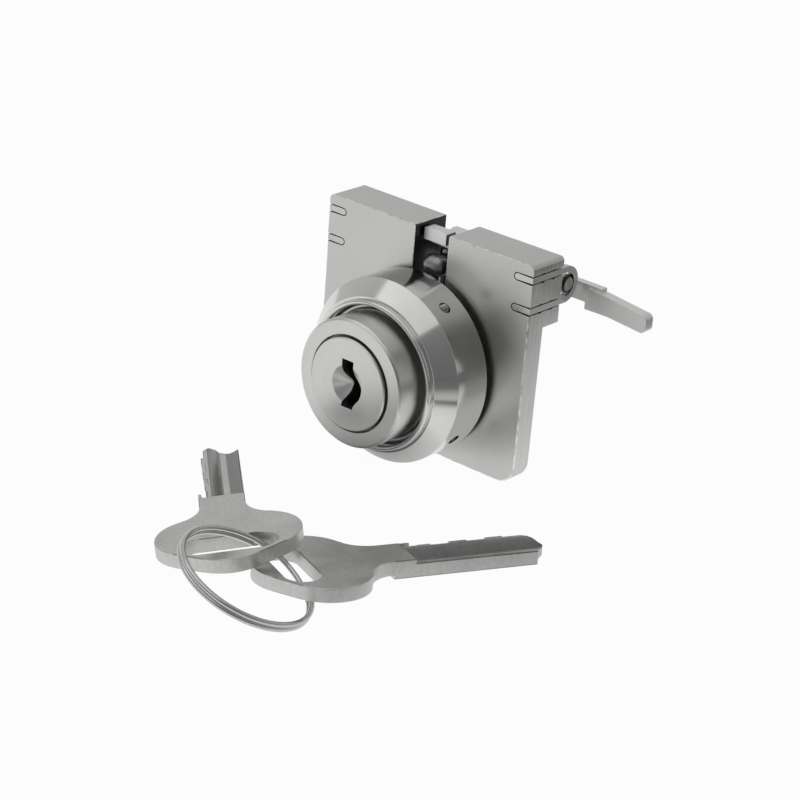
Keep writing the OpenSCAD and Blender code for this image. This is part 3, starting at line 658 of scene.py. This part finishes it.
# Split ring
# Two turns of bright spring wire, pressed flat against each other; where the wire crosses from one turn to
# the next, its two ends butt against the crossing.
RING_R, RING_WIRE_R, TURN_APART = 12.0 * MM, 0.49 * MM, 0.96 * MM
CROSSING, CROSSING_HALF, END_GAP = FULL_TURN, 32.0, 3.0
CROSSING_AT = 330.0
RING_STEPS, RING_SIDES = 260, 16
ring_joint = joint_named("key_left_swing")
ring_middle = Vector(ring_joint["pos_m"])
ring_lean = Vector(ring_joint["axis"]).to_track_quat("Z", "Y")
wire_start, wire_end = CROSSING_HALF + END_GAP, 2 * CROSSING - CROSSING_HALF - END_GAP
ring_path = []
for i in range(RING_STEPS + 1):
    angle = wire_start + (wire_end - wire_start) * i / RING_STEPS
    over = min(max((angle - CROSSING + CROSSING_HALF) / (2 * CROSSING_HALF), 0.0), 1.0)
    over = over * over * (3 - 2 * over)
    turn = math.radians(angle + CROSSING_AT)
    ring_path.append(ring_middle + ring_lean @ Vector((
        RING_R * math.cos(turn), RING_R * math.sin(turn), TURN_APART * (over - 0.5))))
ring = grown("key_ring_dressed", WIRE,
             {"Wire Radius": RING_WIRE_R, "Bend Radius": 0.0, "Sides": RING_SIDES}, ring_path)
dress(ring, "key_ring", "split_ring", bright_steel)

# Keys
# Stamped and milled steel, tumbled and nickel plated, with a slot in the bow for the ring. Painted shade
# darkens the slopes of the milled valley along each blade.
tumbled_steel = plated("tumbled_steel", dark=(0.54, 0.54, 0.53), light=(0.70, 0.70, 0.69),
                       rough=(0.30, 0.44), bump=0.10, wear=0.3, Cloud_Scale=160.0, Line_Scale=1500.0)
VALLEY_SHADE, SLOPE_FROM, SLOPE_TO = 0.55, 0.2, 0.985
SLOPE_AREA_LEAST = 0.2 * MM * MM


def valley_painted_shade(face, flat):
    """Painted shade on the faces that slope away from a key's flat side, its rounded edges left out."""
    slopes = SLOPE_FROM < abs(face.normal.dot(flat)) < SLOPE_TO
    return VALLEY_SHADE * (slopes and face.area > SLOPE_AREA_LEAST)


for name, body in (("key_left", "left_key"), ("key_right", "right_key")):
    key = rounded_copy(name, edge_mm=0.15)
    flat_side = max(key.data.polygons, key=lambda face: face.area).normal.copy()
    mark(key, "painted_shade", partial(valley_painted_shade, flat=flat_side))
    dress(key, name, body, tumbled_steel)

# Studio
# White paper under one large soft box, with pale walls behind the lock and a dark room behind the camera.
# The paper is white to the camera; mirrored in the metal it carries painted shade, dimmer to the right, and a
# painted shadow spot under the barrel.
PAPER_REACH, PAPER_Z = 3.0, cad_box[0][2]
PAPER_SHADE = (0.32, 0.32, 0.32, 1)
SEEN_WHITE, MIRRORED_WHITE = 0.97, 0.85
TO_SHADE, SHADE_FROM, SHADE_TO = (1.0, 0.0, 0.0), 0.03, 0.105
# A painted shadow spot on the paper under the barrel, seen only in the metal
SHADOW_SPOT, SPOT_INNER, SPOT_OUTER = (0.0, -25 * MM, PAPER_Z), 0.005, 0.024
TO_CAMERA, WALL_LIGHT, ROOM_LIGHT = (0.63, -0.78, 0.0), 0.63, 0.16
SOFT_BOX_WIDE, SOFT_BOX_DEEP, SOFT_BOX_POWER = 1.15, 0.8, 1.5
TO_SOFT_BOX, SOFT_BOX_FAR = Vector((-0.12, -0.42, 0.88)), 0.85
LENS, SENSOR, NEAREST = 108.0, 36.0, 0.01
CAMERA_AT, CAMERA_DEGREES = (0.26499, -0.32709, 0.17644), (66.147, -4.234, 41.271)


def reach_along(nodes, link, vector, direction):
    """How far a vector reaches along a direction."""
    node = nodes.new("ShaderNodeVectorMath")
    node.operation = "DOT_PRODUCT"
    node.inputs[1].default_value = direction
    link(vector, node.inputs[0])
    return node.outputs["Value"]


def paper_material():
    """Paper that is white to the camera, with painted shade and a painted shadow where the metal mirrors it,
    and grey to all other light.
    """
    material = bpy.data.materials.new("white_paper")
    material.use_nodes = True
    nodes, link = material.node_tree.nodes, material.node_tree.links.new
    calc = partial(math_node, nodes, link)
    nodes.remove(nodes["Principled BSDF"])
    matte = nodes.new("ShaderNodeBsdfDiffuse")
    matte.inputs["Color"].default_value = PAPER_SHADE
    glow = nodes.new("ShaderNodeEmission")
    glow.inputs["Strength"].default_value = 1.0
    ray = nodes.new("ShaderNodeLightPath")
    at = nodes.new("ShaderNodeTexCoord").outputs["Object"]
    # Painted shade: the paper seen in the metal dims to the right
    falloff = ranged(nodes, link, reach_along(nodes, link, at, TO_SHADE),
                     SHADE_FROM, SHADE_TO, MIRRORED_WHITE, 0.0)
    # Painted shadow: a dark spot under the barrel, seen only in the metal
    apart = nodes.new("ShaderNodeVectorMath")
    apart.operation = "DISTANCE"
    apart.inputs[1].default_value = SHADOW_SPOT
    link(at, apart.inputs[0])
    clear = ranged(nodes, link, apart.outputs["Value"], SPOT_INNER, SPOT_OUTER)
    mirrored = calc("MULTIPLY", calc("MULTIPLY", falloff, clear), ray.outputs["Is Glossy Ray"])
    mix = nodes.new("ShaderNodeMixShader")
    link(calc("MULTIPLY_ADD", ray.outputs["Is Camera Ray"], SEEN_WHITE, mirrored), mix.inputs["Fac"])
    link(matte.outputs[0], mix.inputs[1])
    link(glow.outputs[0], mix.inputs[2])
    link(mix.outputs[0], nodes["Material Output"].inputs["Surface"])
    return material


def studio_world():
    """Light from all round, pale behind the lock and dark behind the camera, on a white background."""
    world = bpy.data.worlds.new("studio")
    world.use_nodes = True
    nodes, link = world.node_tree.nodes, world.node_tree.links.new
    view = nodes.new("ShaderNodeTexCoord").outputs["Generated"]
    room = ranged(nodes, link, reach_along(nodes, link, view, TO_CAMERA), -1.0, 1.0, WALL_LIGHT, ROOM_LIGHT)
    pick = nodes.new("ShaderNodeMix")
    pick.data_type = "FLOAT"
    pick.inputs["B"].default_value = 1.0
    link(nodes.new("ShaderNodeLightPath").outputs["Is Camera Ray"], pick.inputs["Factor"])
    link(room, pick.inputs["A"])
    link(pick.outputs["Result"], nodes["Background"].inputs["Color"])
    return world


paper = bpy.data.meshes.new("paper")
corners = [(-PAPER_REACH, -PAPER_REACH, PAPER_Z), (PAPER_REACH, -PAPER_REACH, PAPER_Z),
           (PAPER_REACH, PAPER_REACH, PAPER_Z), (-PAPER_REACH, PAPER_REACH, PAPER_Z)]
paper.from_pydata(corners, [], [(0, 1, 2, 3)])
paper.materials.append(paper_material())
floor = bpy.data.objects.new("floor", paper)
bpy.context.scene.collection.objects.link(floor)
bpy.context.scene.world = studio_world()

lamp = bpy.data.lights.new("soft_box_above", "AREA")
lamp.shape = "RECTANGLE"
lamp.size = SOFT_BOX_WIDE
lamp.size_y = SOFT_BOX_DEEP
lamp.energy = SOFT_BOX_POWER
holder = bpy.data.objects.new("soft_box_above", lamp)
holder.location = TO_SOFT_BOX.normalized() * SOFT_BOX_FAR
holder.rotation_euler = (-holder.location).to_track_quat("-Z", "Y").to_euler()
bpy.context.scene.collection.objects.link(holder)

camera = bpy.data.cameras.new("camera")
camera.lens = LENS
camera.sensor_width = SENSOR
camera.clip_start = NEAREST
viewer = bpy.data.objects.new("camera", camera)
viewer.location = CAMERA_AT
viewer.rotation_euler = [math.radians(degrees) for degrees in CAMERA_DEGREES]
bpy.context.scene.collection.objects.link(viewer)
bpy.context.scene.camera = viewer
bpy.context.scene.view_settings.view_transform = "Standard"
